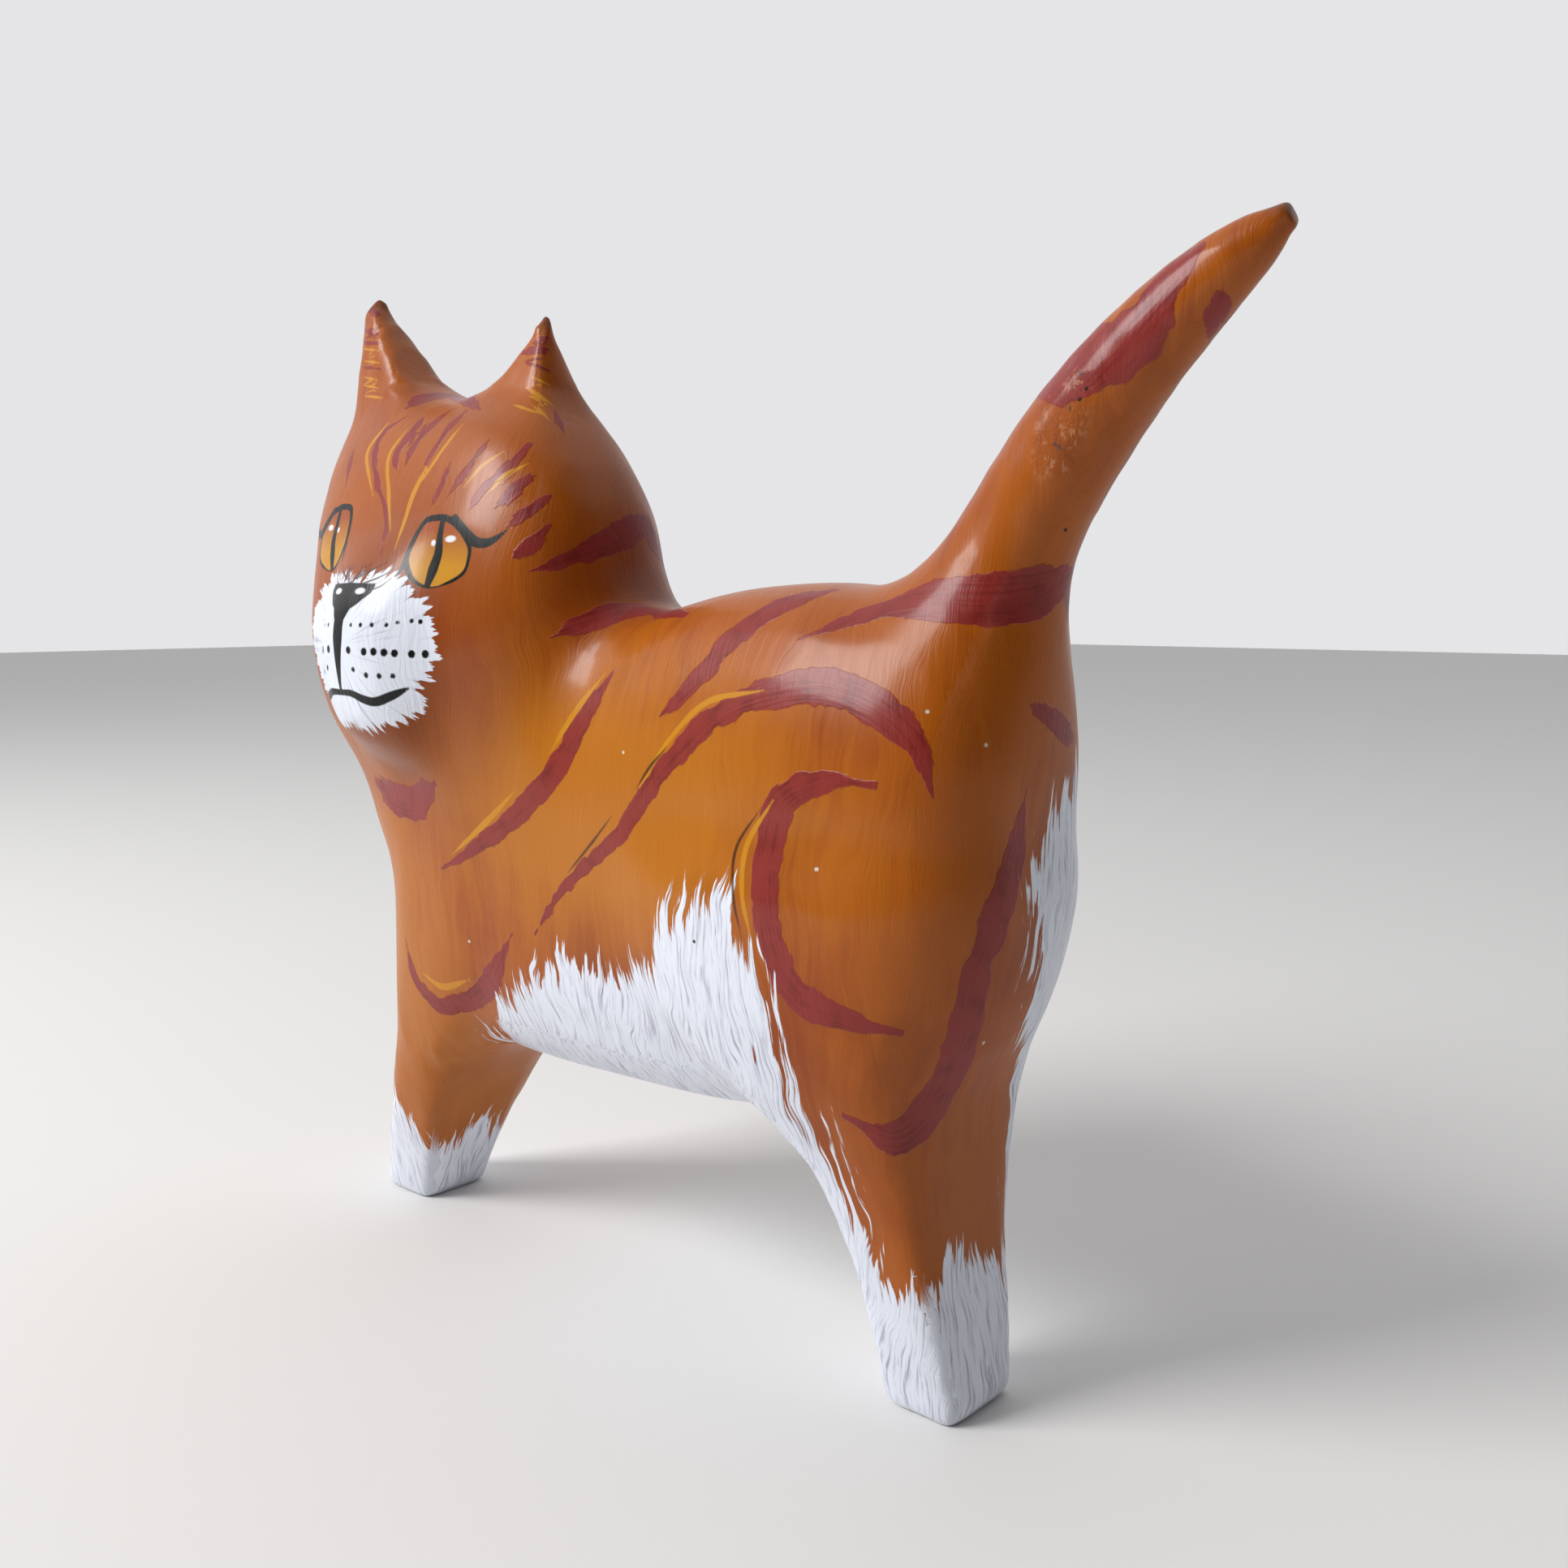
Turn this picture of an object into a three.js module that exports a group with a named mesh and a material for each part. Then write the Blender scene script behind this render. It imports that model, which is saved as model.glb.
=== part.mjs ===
// A small carved and painted wooden cat, standing on two leg columns with its head turned to its left.
// One solid, in millimetres, +Z up. The body points along -X, the face looks to -Y, the tail rises at +X.
import * as THREE from 'three';

// Driving sizes
const figureHeight = 199;      // floor to the tip of the higher ear
const bodyLength = 170;        // chest to rump
const bodyWidth = 51;          // across the haunches
const bellyClearance = 42.5;   // floor to the belly, between the legs
const footLength = 17.2;       // of each sole, along the body
const footWidth = 17.2;        // of each sole, across the body
const footEdgeRadius = 1.5;    // where a foot turns into its sole
const headWidth = 89.5;        // cheek to cheek
const headDepth = 50.5;        // face to the back of the head, without the muzzle
const headTurn = 3.5;          // degrees, beyond square to the body
const muzzleReach = 32.5;      // from the middle of the head to the front of the muzzle
const muzzleWidth = 35;
const earWidth = 30;           // at its root
const earDepth = 20.5;         // at its root
const earTipRadius = 2.5;
const tailLength = 94;         // along its curve
const tailBend = 110;          // radius of that curve
const tailRootWidth = 29;      // where it leaves the rump
const tailTipRadius = 2;

// How softly the carved masses run into each other
const legBlend = 10;
const headBlend = 9;
const muzzleBlend = 9;
const earBlend = 7;
const tailBlend = 10;

// Places are shares: x of bodyLength from the middle of the body, y of bodyWidth, z of figureHeight
const trunk = {
  x: [-0.424, -0.335, -0.188, 0.018, 0.194, 0.353, 0.447, 0.512],
  top: [0.49, 0.56, 0.624, 0.662, 0.691, 0.688, 0.664, 0.655],
  rise: [0.058, 0.017, 0, 0, 0.01, 0.04, 0.081, 0.137],   // of the belly towards either end
  half: [0.215, 0.305, 0.44, 0.47, 0.485, 0.49, 0.445, 0.34],
  squareness: 2.7,
  endRounding: 10,
};

// A column's length and width grow from the foot's own, and its corners soften as it rises
const frontLeg = {
  z: [0, 0.07, 0.15, 0.25, 0.35, 0.46],
  middle: [-0.441, -0.411, -0.365, -0.308, -0.27, -0.261],
  length: [0, 0.01, 0.029, 0.072, 0.114, 0.165],          // of bodyLength, beyond the foot's
  width: [0, 0.11, 0.265, 0.395, 0.46, 0.48],             // of bodyWidth, beyond the foot's
  squareness: [5, 4.4, 3.6, 3.2, 3, 2.8],
};
const hindLeg = {
  z: [0, 0.07, 0.15, 0.24, 0.33, 0.45],
  middle: [0.422, 0.41, 0.389, 0.36, 0.299, 0.291],
  length: [0, 0, 0.018, 0.074, 0.196, 0.262],
  width: [0.01, 0.11, 0.215, 0.4, 0.59, 0.65],
  squareness: [5, 4.6, 4.2, 4, 3.8, 3.6],
};

const head = {
  z: [0.412, 0.492, 0.563, 0.633, 0.704, 0.774, 0.839, 0.889],
  x: [-0.226, -0.252, -0.272, -0.276, -0.274, -0.278, -0.288, -0.293],
  y: [-0.022, -0.055, -0.08, -0.086, -0.08, -0.077, -0.074, -0.067],
  halfWidth: [0.363, 0.408, 0.456, 0.487, 0.496, 0.478, 0.392, 0.24],
  halfDepth: [0.316, 0.395, 0.465, 0.5, 0.482, 0.419, 0.315, 0.175],
  squareness: 3,
};
const muzzle = {
  z: [0.528, 0.568, 0.613, 0.658, 0.725],
  reach: [0.87, 0.97, 1, 0.99, 0.82],
  half: [0.36, 0.45, 0.5, 0.47, 0.36],
  squareness: 2.4,
};
const ears = [
  { root: [-0.402, -0.097, 0.835], tip: [-0.466, -0.112, 0.991] },
  { root: [-0.186, -0.034, 0.801], tip: [-0.148, -0.09, 0.943] },
];
const earSquareness = 4.5;
const tail = {
  root: [0.416, 0, 0.572],       // on the curve's centre line, inside the rump
  lean: 12.3,                    // degrees past upright, at the root
  s: [0, 0.17, 0.35, 0.57, 0.72, 0.85, 0.94, 1],
  half: [0.463, 0.383, 0.277, 0.228, 0.181, 0.126, 0.066, 0],
};

// A smooth curve through stations, its slope at each taken from both neighbours, held level past the ends
function through(stations, values, at) {
  const last = stations.length - 1;
  const t = Math.min(Math.max(at, stations[0]), stations[last]);
  let k = 0;
  while (k < last - 1 && t >= stations[k + 1]) k += 1;
  const step = (i) => stations[i + 1] - stations[i];
  const grade = (i) => (values[i + 1] - values[i]) / step(i);
  const slope = (i) => {
    if (i === 0) return grade(0);
    if (i === last) return grade(last - 1);
    return (grade(i - 1) * step(i) + grade(i) * step(i - 1)) / (step(i) + step(i - 1));
  };
  const width = step(k);
  const s = (t - stations[k]) / width;
  const s2 = s * s;
  const s3 = s2 * s;
  return (2 * s3 - 3 * s2 + 1) * values[k] + (s3 - 2 * s2 + s) * width * slope(k)
    + (3 * s2 - 2 * s3) * values[k + 1] + (s3 - s2) * width * slope(k + 1);
}

// Joins two masses whose surfaces lie a and b away, with a fillet as wide as reach
function join(a, b, reach) {
  const h = Math.min(Math.max(0.5 + 0.5 * (b - a) / reach, 0), 1);
  return b + (a - b) * h - reach * h * (1 - h);
}

// Keeps what lies inside both, with a rounded edge
function trim(a, b, reach) {
  return -join(-a, -b, reach);
}

// A rounded rectangle: squareness 2 is an ellipse, more is squarer. Negative inside.
function roundedBox(u, v, halfU, halfV, squareness) {
  const r = (Math.abs(u / halfU) ** squareness + Math.abs(v / halfV) ** squareness) ** (1 / squareness);
  return (r - 1) * Math.min(halfU, halfV);
}

function trunkDistance(x, y, z) {
  const share = x / bodyLength;
  const top = figureHeight * through(trunk.x, trunk.top, share);
  const bottom = bellyClearance + figureHeight * through(trunk.x, trunk.rise, share);
  const half = bodyWidth * through(trunk.x, trunk.half, share);
  const ends = Math.max(bodyLength * trunk.x[0] - x, x - bodyLength * trunk.x.at(-1));
  const section = roundedBox(y, z - (top + bottom) / 2, half, (top - bottom) / 2, trunk.squareness);
  return trim(section, ends, trunk.endRounding);
}

function legDistance(leg, x, y, z) {
  const share = z / figureHeight;
  const along = x - bodyLength * through(leg.z, leg.middle, share);
  const halfLength = (footLength + bodyLength * through(leg.z, leg.length, share)) / 2;
  const halfWidth = (footWidth + bodyWidth * through(leg.z, leg.width, share)) / 2;
  const column = roundedBox(along, y, halfLength, halfWidth, through(leg.z, leg.squareness, share));
  const topped = trim(column, z - figureHeight * leg.z.at(-1), legBlend);
  return trim(topped, -z, footEdgeRadius);
}

// The head's own directions: across it from ear to ear, and back from the face
const turn = THREE.MathUtils.degToRad(headTurn);
const across = new THREE.Vector3(Math.cos(turn), -Math.sin(turn), 0);
const backward = new THREE.Vector3(Math.sin(turn), Math.cos(turn), 0);

function place(shares) {
  return new THREE.Vector3(bodyLength * shares[0], bodyWidth * shares[1], figureHeight * shares[2]);
}

// An ear is a squarish cone from its root to a rounded tip, wide across the head and thinner through it
const earFrames = ears.map(({ root, tip }) => {
  const foot = place(root);
  const axis = place(tip).sub(foot);
  const length = axis.length();
  axis.normalize();
  const wide = across.clone().addScaledVector(axis, -across.dot(axis)).normalize();
  return { foot, axis, length, wide, thin: new THREE.Vector3().crossVectors(wide, axis) };
});
const earSink = 0.25;            // how far the cone runs on below its root, as a share of its length

function earDistance(ear, point) {
  const offset = point.clone().sub(ear.foot);
  const up = offset.dot(ear.axis) / ear.length;
  const narrowing = 1 - Math.min(Math.max(up, -earSink), 1);
  const halfWide = earWidth / 2 * narrowing + earTipRadius * (1 - narrowing);
  const halfThin = earDepth / 2 * narrowing + earTipRadius * (1 - narrowing);
  const cone = roundedBox(offset.dot(ear.wide), offset.dot(ear.thin), halfWide, halfThin, earSquareness);
  const tipped = trim(cone, (up - 1) * ear.length - earTipRadius, earTipRadius);
  return trim(tipped, (-earSink - up) * ear.length, earTipRadius);
}

const headEndRounding = 10;
const muzzleEndRounding = 8;

function headDistance(x, y, z) {
  const share = z / figureHeight;
  const dx = x - bodyLength * through(head.z, head.x, share);
  const dy = y - bodyWidth * through(head.z, head.y, share);
  const u = dx * across.x + dy * across.y;
  const v = dx * backward.x + dy * backward.y;
  const halfWidth = headWidth * through(head.z, head.halfWidth, share);
  const halfDepth = headDepth * through(head.z, head.halfDepth, share);
  const skull = roundedBox(u, v, halfWidth, halfDepth, head.squareness);
  const crown = z - figureHeight * head.z.at(-1);
  const throat = figureHeight * head.z[0] - z;
  const whole = trim(trim(skull, crown, headEndRounding), throat, headEndRounding);
  const reach = muzzleReach * through(muzzle.z, muzzle.reach, share);
  const half = muzzleWidth * through(muzzle.z, muzzle.half, share);
  const bulge = roundedBox(u, v + reach / 2, half, reach / 2, muzzle.squareness);
  const chin = Math.max(z - figureHeight * muzzle.z.at(-1), figureHeight * muzzle.z[0] - z);
  let all = join(whole, trim(bulge, chin, muzzleEndRounding), muzzleBlend);
  const point = new THREE.Vector3(x, y, z);
  for (const ear of earFrames) all = join(all, earDistance(ear, point), earBlend);
  return all;
}

// The tail's centre line is an arc in the middle plane, bending back towards level as it rises
const tailStart = place(tail.root);
const leanAngle = THREE.MathUtils.degToRad(tail.lean);
const tailCentre = {
  x: tailStart.x + tailBend * Math.cos(leanAngle),
  z: tailStart.z - tailBend * Math.sin(leanAngle),
};

function tailDistance(x, y, z) {
  const dx = x - tailCentre.x;
  const dz = z - tailCentre.z;
  const s = (Math.PI - leanAngle - Math.atan2(dz, dx)) * tailBend;
  const held = Math.min(Math.max(s, 0), tailLength);
  const share = through(tail.s, tail.half, held / tailLength);
  const radius = tailTipRadius + (tailRootWidth - tailTipRadius) * share;
  return Math.hypot(Math.hypot(dx, dz) - tailBend, y, s - held) - radius;
}

// How far a point lies outside the whole figure, negative inside
function catDistance(x, y, z) {
  let d = trunkDistance(x, y, z);
  d = join(d, legDistance(frontLeg, x, y, z), legBlend);
  d = join(d, legDistance(hindLeg, x, y, z), legBlend);
  d = join(d, headDistance(x, y, z), headBlend);
  return join(d, tailDistance(x, y, z), tailBlend);
}

const cornerSteps = [0, 1].flatMap((i) => [0, 1].flatMap((j) => [0, 1].map((k) => [i, j, k])));
const stepsApart = (from, to) => to.reduce((sum, v, axis) => sum + Math.abs(v - from[axis]), 0);
const cellEdges = cornerSteps.flatMap((from, i) => cornerSteps
  .filter((to, j) => j > i && stepsApart(from, to) === 1)
  .map((to) => [from, to]));

// A net over the zero surface: one vertex in each grid cell that it crosses, one quad round each crossed edge
function surfaceNet(distance, grid) {
  const [nx, ny, nz] = grid.map((line) => line.length);
  const index = (i, j, k) => (i * ny + j) * nz + k;
  const values = new Float64Array(nx * ny * nz);
  for (let i = 0; i < nx; i += 1) {
    for (let j = 0; j < ny; j += 1) {
      for (let k = 0; k < nz; k += 1) values[index(i, j, k)] = distance(grid[0][i], grid[1][j], grid[2][k]);
    }
  }
  const vertexOf = new Int32Array(values.length).fill(-1);
  const points = [];
  for (let i = 0; i < nx - 1; i += 1) {
    for (let j = 0; j < ny - 1; j += 1) {
      for (let k = 0; k < nz - 1; k += 1) {
        const sum = new THREE.Vector3();
        let crossings = 0;
        for (const [from, to] of cellEdges) {
          const a = values[index(i + from[0], j + from[1], k + from[2])];
          const b = values[index(i + to[0], j + to[1], k + to[2])];
          if ((a < 0) === (b < 0)) continue;
          const start = new THREE.Vector3(grid[0][i + from[0]], grid[1][j + from[1]], grid[2][k + from[2]]);
          const end = new THREE.Vector3(grid[0][i + to[0]], grid[1][j + to[1]], grid[2][k + to[2]]);
          sum.add(start.lerp(end, a / (a - b)));
          crossings += 1;
        }
        if (crossings > 0) {
          vertexOf[index(i, j, k)] = points.length;
          points.push(sum.divideScalar(crossings));
        }
      }
    }
  }
  const quads = [];
  for (let i = 1; i < nx - 1; i += 1) {
    for (let j = 1; j < ny - 1; j += 1) {
      for (let k = 1; k < nz - 1; k += 1) {
        const inside = values[index(i, j, k)] < 0;
        const cell = (di, dj, dk) => vertexOf[index(i - di, j - dj, k - dk)];
        const rings = [
          [values[index(i + 1, j, k)], [cell(0, 1, 1), cell(0, 0, 1), cell(0, 0, 0), cell(0, 1, 0)]],
          [values[index(i, j + 1, k)], [cell(1, 0, 1), cell(1, 0, 0), cell(0, 0, 0), cell(0, 0, 1)]],
          [values[index(i, j, k + 1)], [cell(1, 1, 0), cell(0, 1, 0), cell(0, 0, 0), cell(1, 0, 0)]],
        ];
        for (const [beyond, ring] of rings) {
          if ((beyond < 0) !== inside) quads.push(inside ? ring : ring.toReversed());
        }
      }
    }
  }
  return { points, quads };
}

// Moves a point onto the surface along the slope of the distance
function settle(distance, point) {
  const rounds = 4;
  const reach = 0.1;
  const longest = 2;
  for (let round = 0; round < rounds; round += 1) {
    const { x, y, z } = point;
    const slope = new THREE.Vector3(
      distance(x + reach, y, z) - distance(x - reach, y, z),
      distance(x, y + reach, z) - distance(x, y - reach, z),
      distance(x, y, z + reach) - distance(x, y, z - reach),
    ).divideScalar(2 * reach);
    const move = -distance(x, y, z) / slope.lengthSq();
    point.add(slope.multiplyScalar(move).clampLength(0, longest));
  }
  const soleTolerance = 1e-4;
  if (Math.abs(point.z) < soleTolerance) point.z = 0;
}

// The box that holds every mass, from the same sizes
function figureBox() {
  const box = new THREE.Box3();
  const margin = 8;
  const include = (x, y, z) => box.expandByPoint(new THREE.Vector3(x, y, z));
  trunk.x.forEach((share, i) => {
    const half = bodyWidth * trunk.half[i];
    include(bodyLength * share, half, figureHeight * trunk.top[i]);
    include(bodyLength * share, -half, bellyClearance);
  });
  for (const leg of [frontLeg, hindLeg]) {
    leg.z.forEach((share, i) => {
      const half = (footLength + bodyLength * leg.length[i]) / 2;
      const side = (footWidth + bodyWidth * leg.width[i]) / 2;
      include(bodyLength * leg.middle[i] - half, -side, figureHeight * share);
      include(bodyLength * leg.middle[i] + half, side, figureHeight * share);
    });
  }
  head.z.forEach((share, i) => {
    const x = bodyLength * head.x[i];
    const y = bodyWidth * head.y[i];
    const half = headWidth * head.halfWidth[i];
    const deep = headDepth * head.halfDepth[i];
    include(x - half, y - Math.max(deep, muzzleReach), figureHeight * share);
    include(x + half, y + deep, figureHeight * share);
  });
  for (const { tip } of ears) box.expandByPoint(place(tip));
  tail.s.forEach((share, i) => {
    const angle = Math.PI - leanAngle - share * tailLength / tailBend;
    const radius = tailRootWidth * tail.half[i];
    const x = tailCentre.x + tailBend * Math.cos(angle);
    const z = tailCentre.z + tailBend * Math.sin(angle);
    include(x - radius, -radius, z - radius);
    include(x + radius, radius, z + radius);
  });
  return box.expandByScalar(margin);
}

// Grid planes from a start through each stop, evenly spaced up to it
function planes(start, stops) {
  const out = [start];
  for (const [stop, spacing] of stops) {
    const from = out.at(-1);
    const count = Math.max(1, Math.round((stop - from) / spacing));
    for (let k = 1; k <= count; k += 1) out.push(from + (stop - from) * k / count);
  }
  return out;
}

const coarse = 5.3;
const medium = 4.3;
const fine = 3;                  // for the feet and the ears

// Finer across the narrow parts: the feet, the ears' tips and the tail's
function figureGrid() {
  const { min, max } = figureBox();
  const narrow = (Math.max(footWidth, earDepth) + coarse) / 2;
  const crown = figureHeight * head.z.at(-1) - earTipRadius;
  const rump = bodyLength * hindLeg.middle[0] - footLength / 2;
  const [farTip, nearTip] = ears.map(({ tip }) => bodyLength * tip[0]);
  const tipReach = 2 * earTipRadius;
  return [
    planes(min.x, [
      [farTip - tipReach, medium],
      [farTip + tipReach, fine],
      [nearTip - tipReach, coarse],
      [nearTip + tipReach, fine],
      [rump, coarse],
      [max.x, medium],
    ]),
    planes(min.y, [[-narrow, medium], [narrow, fine], [max.y, coarse]]),
    planes(min.z, [
      [footEdgeRadius, fine],
      [figureHeight * hindLeg.z[1], medium],
      [figureHeight * muzzle.z[0], coarse],
      [crown, medium],
      [max.z, fine],
    ]),
  ];
}

// The carved block as one closed mesh, each quad split along its shorter diagonal
function carvedGeometry() {
  const { points, quads } = surfaceNet(catDistance, figureGrid());
  for (const point of points) settle(catDistance, point);
  const indices = quads.flatMap(([a, b, c, d]) => {
    const split = points[a].distanceTo(points[c]) <= points[b].distanceTo(points[d]);
    return split ? [a, b, c, a, c, d] : [a, b, d, b, c, d];
  });
  const geometry = new THREE.BufferGeometry();
  geometry.setAttribute('position', new THREE.Float32BufferAttribute(points.flatMap((p) => p.toArray()), 3));
  geometry.setIndex(indices);
  return geometry;
}

const paintedWood = new THREE.MeshStandardMaterial({ color: 0xb8651e, roughness: 0.32, metalness: 0 });

// Stands the figure on the floor with its origin under the middle of its bounds
function cat() {
  const geometry = carvedGeometry();
  geometry.computeBoundingBox();
  const middle = geometry.boundingBox.getCenter(new THREE.Vector3());
  geometry.translate(-middle.x, -middle.y, 0);
  geometry.computeVertexNormals();
  const mesh = new THREE.Mesh(geometry, paintedWood);
  mesh.name = 'cat';
  return mesh;
}

const figurine = new THREE.Group();
figurine.add(cat());

export default figurine;
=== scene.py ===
import math

import bmesh
import bpy
import numpy as np
from mathutils import Matrix, Vector
from mathutils.bvhtree import BVHTree


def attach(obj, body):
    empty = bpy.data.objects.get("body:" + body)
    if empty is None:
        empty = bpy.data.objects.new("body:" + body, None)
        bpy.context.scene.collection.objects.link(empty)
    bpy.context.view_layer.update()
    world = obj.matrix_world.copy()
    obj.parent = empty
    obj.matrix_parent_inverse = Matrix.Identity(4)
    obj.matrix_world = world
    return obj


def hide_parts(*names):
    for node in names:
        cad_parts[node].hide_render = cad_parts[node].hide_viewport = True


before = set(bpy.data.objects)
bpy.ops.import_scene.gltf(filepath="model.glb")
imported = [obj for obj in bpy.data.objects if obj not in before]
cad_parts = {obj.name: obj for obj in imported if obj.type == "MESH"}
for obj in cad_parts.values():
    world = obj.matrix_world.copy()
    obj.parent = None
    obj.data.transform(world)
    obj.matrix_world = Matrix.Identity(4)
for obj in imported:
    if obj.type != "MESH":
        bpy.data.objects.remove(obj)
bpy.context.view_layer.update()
scene = bpy.context.scene
print("frame loaded")

# Millimetres are used for the figure's own sizes, and a shade of paint is sRGB, 0 to 255.
mm = 0.001


# The camera stands where the photograph was taken from, beside the figure's tail.
photo = {
    "pixels": 1932,
    "place": (194.8, -196.45, 135.0),  # mm
    "azimuth": 41.5,  # degrees, turned from looking along +Y towards -X
    "pitch": 6.9,  # degrees, looking down
    "focalPixels": 1860.0,  # the focal length, in the photograph's pixels
    "sensor": 36.0,  # mm
}
cameraTurn = (
    Matrix.Rotation(math.radians(photo["azimuth"]), 3, "Z")
    @ Matrix.Rotation(math.radians(90 - photo["pitch"]), 3, "X")
)
cameraData = bpy.data.cameras.new("photo camera")
cameraData.sensor_width = photo["sensor"]
cameraData.lens = photo["sensor"] * photo["focalPixels"] / photo["pixels"]
cameraData.clip_start = 0.01
camera = bpy.data.objects.new("photo camera", cameraData)
camera.location = Vector(photo["place"]) * mm
camera.rotation_euler = cameraTurn.to_euler()
scene.collection.objects.link(camera)
scene.camera = camera
scene.view_settings.view_transform = "Standard"
print("camera placed")


# The figure: a finer copy of the solid, joined up, made of quads and rounded.
figure = {
    "smoothing": 2,  # rounds of subdivision
    "fitting": 3,  # rounds of moving the cage, so that the rounded surface meets the solid's points
    "joinAngle": 50,  # degrees, up to which two triangles are made one quad
    "joinShape": 60,  # degrees, how far a quad's corners may be from square
    "middle": 4.65,  # y of the plank's middle plane
    "faceX": -65.5,  # the face's middle line, where it meets the body
    "faceY": 0.55,
    "faceTurn": 3.5,  # degrees, beyond square to the body
    "faceDepth": 12.0,  # how far out of the head's middle its front face starts
    "faceFront": 13.0,  # and where the paint of its features is whole
    "faceLow": 102.0,  # the heights and the half width of the part with finer faces
    "faceHigh": 166.0,
    "faceHalf": 42.0,
    # each ear: the x range of its tip, how far the tip is drawn up, and how much it is narrowed
    "ears": [(-50, 0, 2.0, 0.42), (-110, -60, 0.3, 0.2)],
    "earReach": 5.0,  # how far down an ear this goes
    "earTop": 3.5,  # the ball round an ear's highest point that gives its middle
    "earRoom": 25.0,  # the radius that holds the whole ear
    "earPoint": 2.0,  # the radius of the part that is drawn up
    "tailShrink": 0.27,  # how much the tail's end is drawn in, and over what distance
    "tailReach": 7.0,
    "tailCore": 9.0,  # the ball round the tail's end that gives its middle
}


def evaluated(subject):
    # the mesh that an object's modifiers make
    graph = bpy.context.evaluated_depsgraph_get()
    return bpy.data.meshes.new_from_object(subject.evaluated_get(graph))


def verticesOf(mesh):
    # the vertices' places in mm, and their normals
    places = np.empty(len(mesh.vertices) * 3, np.float32)
    mesh.vertices.foreach_get("co", places)
    normals = np.empty(len(mesh.vertices) * 3, np.float32)
    mesh.vertices.foreach_get("normal", normals)
    return places.reshape(-1, 3) / mm, normals.reshape(-1, 3)


def finerFigure(node):
    # each round moves the cage by what its rounded points miss of the solid's own points
    rough = bpy.data.objects.new("rough figure", node.data.copy())
    scene.collection.objects.link(rough)
    shell = bmesh.new()
    shell.from_mesh(rough.data)
    bmesh.ops.remove_doubles(shell, verts=shell.verts, dist=1e-6)
    bmesh.ops.join_triangles(
        shell,
        faces=shell.faces,
        angle_face_threshold=math.radians(figure["joinAngle"]),
        angle_shape_threshold=math.radians(figure["joinShape"]),
    )
    shell.to_mesh(rough.data)
    shell.free()
    rounding = rough.modifiers.new("rounding", "SUBSURF")
    rounding.levels = rounding.render_levels = figure["smoothing"]
    wanted, _ = verticesOf(rough.data)
    cage = wanted.copy()
    for _ in range(figure["fitting"]):
        rounded, _ = verticesOf(evaluated(rough))
        cage += wanted - rounded[: len(wanted)]
        rough.data.vertices.foreach_set("co", (cage * mm).ravel())
        rough.data.update()
    mesh = evaluated(rough)
    bpy.data.objects.remove(rough)
    return mesh


def faceChart(points):
    # u runs across the face from its middle line and w out of it, both in mm: x and y turned
    turn = math.radians(figure["faceTurn"])
    across = points[:, 0] - figure["faceX"]
    out = points[:, 1] - figure["faceY"]
    u = across * math.cos(turn) - out * math.sin(turn)
    w = -across * math.sin(turn) - out * math.cos(turn)
    return u, w


def splitFace(mesh):
    # the paint of the face is finer than the rest, so the edges there are cut in two
    places, _ = verticesOf(mesh)
    u, w = faceChart(places)
    chosen = (w > figure["faceDepth"]) & (abs(u) < figure["faceHalf"])
    chosen &= (places[:, 2] > figure["faceLow"]) & (places[:, 2] < figure["faceHigh"])
    shell = bmesh.new()
    shell.from_mesh(mesh)
    shell.verts.ensure_lookup_table()
    edges = [e for e in shell.edges if chosen[e.verts[0].index] and chosen[e.verts[1].index]]
    bmesh.ops.subdivide_edges(shell, edges=edges, cuts=1, use_grid_fill=True)
    bmesh.ops.recalc_face_normals(shell, faces=shell.faces)
    shell.to_mesh(mesh)
    shell.free()


def shapeEnds(mesh):
    # a bell curve of the depth below each tip narrows it towards its middle and draws it up
    places, _ = verticesOf(mesh)
    for low, high, rise, narrowing in figure["ears"]:
        x, _, z = places.T
        tip = places[np.argmax(np.where((x > low) & (x < high), z, 0))]
        top = places[np.linalg.norm(places - tip, axis=1) < figure["earTop"]]
        middle = (top[:, :2].max(0) + top[:, :2].min(0)) / 2
        outward = np.linalg.norm(places[:, :2] - middle, axis=1)
        bell = np.exp(-(((tip[2] - z) / figure["earReach"]) ** 2))
        bell *= outward < figure["earRoom"]
        places[:, 2] += rise * bell * np.exp(-((outward / figure["earPoint"]) ** 2))
        places[:, :2] += (middle - places[:, :2]) * narrowing * bell[:, None]
    tailEnd = places[np.argmax(places[:, 0] + places[:, 2])]
    away = np.linalg.norm(places - tailEnd, axis=1)
    core = places[away < figure["tailCore"]].mean(0)
    bell = np.exp(-((away / figure["tailReach"]) ** 2))
    places += (core - places) * figure["tailShrink"] * bell[:, None]
    places[:, 2] = np.maximum(places[:, 2], 0)  # the soles stay flat
    mesh.vertices.foreach_set("co", (places * mm).ravel())
    mesh.update()


catMesh = finerFigure(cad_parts["cat"])
shapeEnds(catMesh)
splitFace(catMesh)
catMesh.name = "paintedCat"
catMesh.materials.clear()
catMesh.shade_smooth()
cat = bpy.data.objects.new("paintedCat", catMesh)
scene.collection.objects.link(cat)
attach(cat, "root")
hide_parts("cat")
catPlaces, catNormals = verticesOf(catMesh)
catTree = BVHTree.FromPolygons(
    [Vector(p) for p in catPlaces.tolist()],
    [tuple(f.vertices) for f in catMesh.polygons],
)
print("figure rounded:", sum(len(f.vertices) - 2 for f in catMesh.polygons), "triangles")


# Where the paint lies. Marks are given by the photograph's pixels and found on the figure.


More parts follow.
